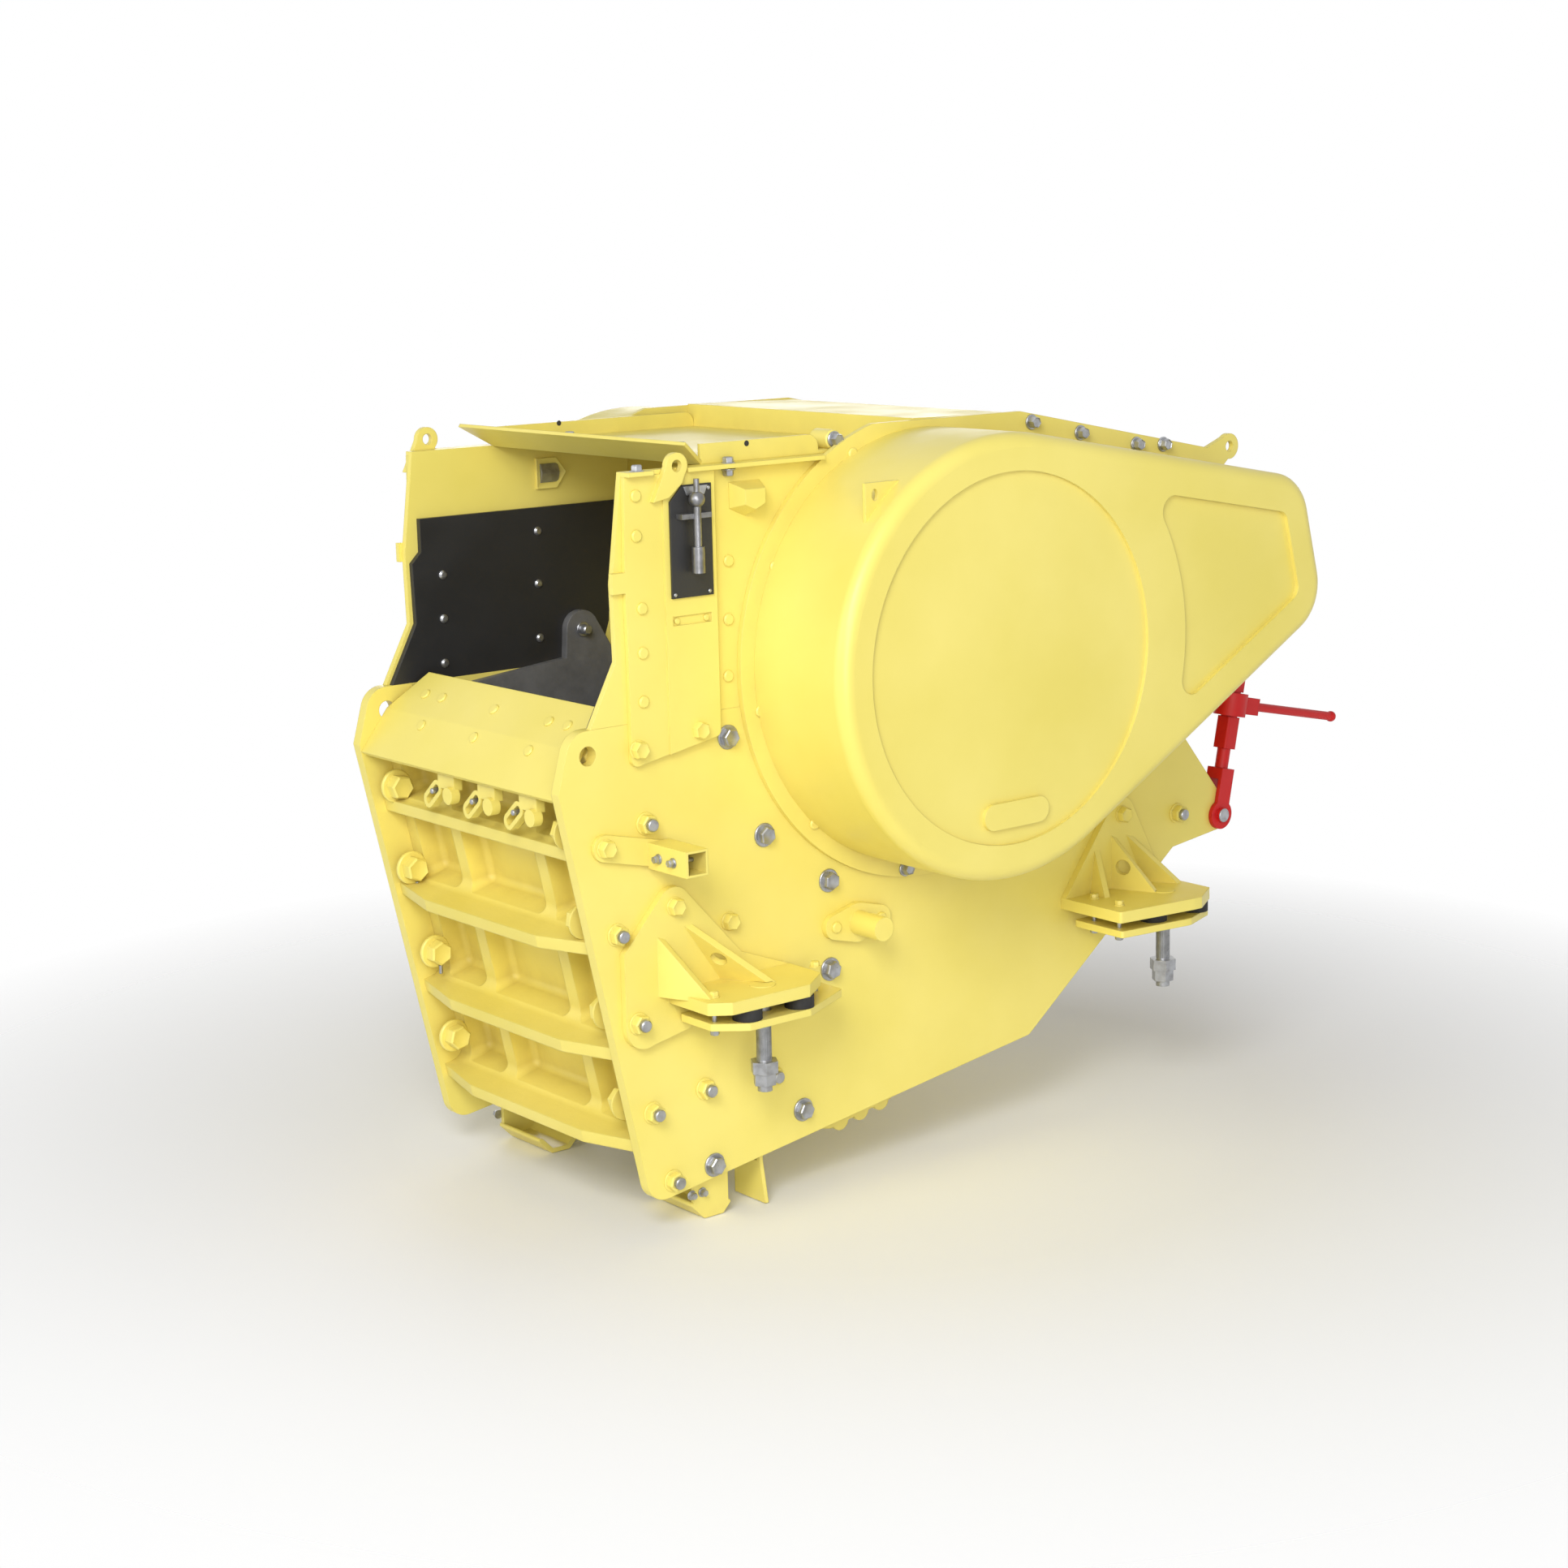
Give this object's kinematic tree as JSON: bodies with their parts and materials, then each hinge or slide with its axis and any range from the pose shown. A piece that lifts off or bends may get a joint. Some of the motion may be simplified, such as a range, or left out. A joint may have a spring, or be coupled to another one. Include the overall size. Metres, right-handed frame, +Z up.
{
  "type": "jaw crusher",
  "caption": "Single-toggle jaw crusher with a ribbed front casting, flywheel and belt guards, an open-fronted feed hopper and rubber-padded hanging mounts.",
  "frame": {"origin": "midway between the four holding-down studs, in the plane of the base plates' undersides", "axes": "+X from the feed lip to the rear, +Y to the machine's left, +Z up"},
  "size_m": [3.5209, 2.104, 2.4983],
  "materials": {
    "yellow_paint": "satin",
    "black_liner": "satin",
    "manganese_steel": "as cast",
    "bare_steel": "zinc plated",
    "pad_rubber": "matt",
    "red_paint": "gloss"
  },
  "bodies": {
    "frame": {"binder_anchor": "yellow_paint", "binder_barrel": "red_paint", "binder_lower_fork": "red_paint", "binder_upper_fork": "red_paint", "discharge_deflector": "yellow_paint", "eccentric_shaft": "bare_steel", "feed_lip_plate": "yellow_paint", "fixed_jaw_plate": "manganese_steel", "front_frame_end": "yellow_paint", "hopper_tray": "yellow_paint", "left_cheek_plate": "manganese_steel", "left_front_bracket": "yellow_paint", "left_guard_back_plate": "yellow_paint", "left_guard_cover": "yellow_paint", "left_hopper_liner": "black_liner", "left_hopper_panel": "yellow_paint", "left_hopper_wall": "yellow_paint", "left_rear_bracket": "yellow_paint", "left_sensor_cover": "yellow_paint", "left_side_plate": "yellow_paint", "left_trunnion": "yellow_paint", "left_tube_socket": "yellow_paint", "mount_base_plates": "yellow_paint", "mount_rubber_pads": "pad_rubber", "mount_studs": "bare_steel", "rear_frame_end": "yellow_paint", "right_cheek_plate": "manganese_steel", "right_front_bracket": "yellow_paint", "right_guard_back_plate": "yellow_paint", "right_guard_cover": "yellow_paint", "right_hopper_liner": "black_liner", "right_hopper_panel": "yellow_paint", "right_hopper_wall": "yellow_paint", "right_rear_bracket": "yellow_paint", "right_sensor_cover": "yellow_paint", "right_side_plate": "yellow_paint", "right_tool_panel": "black_liner", "right_tool_rod": "bare_steel", "right_trunnion": "yellow_paint", "right_tube_socket": "yellow_paint", "roof_cover": "yellow_paint"},
    "jaw": {"pitman": "yellow_paint", "moving_jaw_plate": "manganese_steel"},
    "toggle": {"toggle_plate": "yellow_paint"},
    "handle": {"binder_handle": "red_paint"}
  },
  "joints": [
    {"name": "jaw_swing", "type": "hinge", "parent": "frame", "child": "jaw", "pos_m": [-0.066, 0, 1.06], "axis": [0, 1, 0], "range_deg": [0, 1.2]},
    {"name": "toggle_rock", "type": "hinge", "parent": "frame", "child": "toggle", "pos_m": [0.44, 0, 0.02], "axis": [0, 1, 0], "range_deg": [0, 1.3]},
    {"name": "handle_swing", "type": "hinge", "parent": "frame", "child": "handle", "pos_m": [1.43958, -0.58, 0.67222], "axis": [0.2079, 0, 0.9781], "range_deg": [-60, 60]}
  ],
  "couplings": [
    {"joint": "toggle_rock", "follows": "jaw_swing", "ratio": 0.964}
  ]
}
